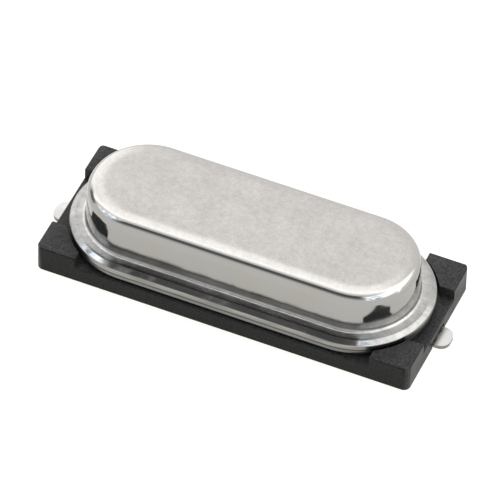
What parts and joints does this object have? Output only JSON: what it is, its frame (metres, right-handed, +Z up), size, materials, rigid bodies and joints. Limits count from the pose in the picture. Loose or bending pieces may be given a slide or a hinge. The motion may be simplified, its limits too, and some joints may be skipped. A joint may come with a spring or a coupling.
{
  "type": "crystal oscillator",
  "caption": "Low-profile quartz crystal unit: an oblong drawn metal can on a black moulded surface-mount base, with a flat lead under each end.",
  "frame": {"origin": "middle of the underside of the base, where it meets the circuit board", "axes": "+X along the leads and the length of the can, +Y across the can, +Z up through the top of the can"},
  "size_m": [0.0122, 0.0044, 0.0024],
  "materials": {
    "base_plastic": "matte black moulded plastic with a fine grain",
    "header_metal": "nickel-plated stamped steel",
    "bead_glass": "dark green sealing glass",
    "lead_metal": "bright tin-plated wire, pressed flat",
    "spring_metal": "thin rolled spring strip",
    "quartz": "clear lapped quartz",
    "silver_film": "vapour-plated silver",
    "silver_glue": "cured silver-filled glue",
    "can_metal": "nickel-plated drawn can, satin on top and bright on the sides"
  },
  "bodies": {
    "root": {"base": "base_plastic", "header": "header_metal", "glass_bead_left": "bead_glass", "glass_bead_right": "bead_glass", "lead_left": "lead_metal", "lead_right": "lead_metal", "spring_left": "spring_metal", "spring_right": "spring_metal", "quartz_blank": "quartz", "electrode_top": "silver_film", "electrode_bottom": "silver_film", "glue_left": "silver_glue", "glue_right": "silver_glue", "can": "can_metal"}
  },
  "joints": []
}
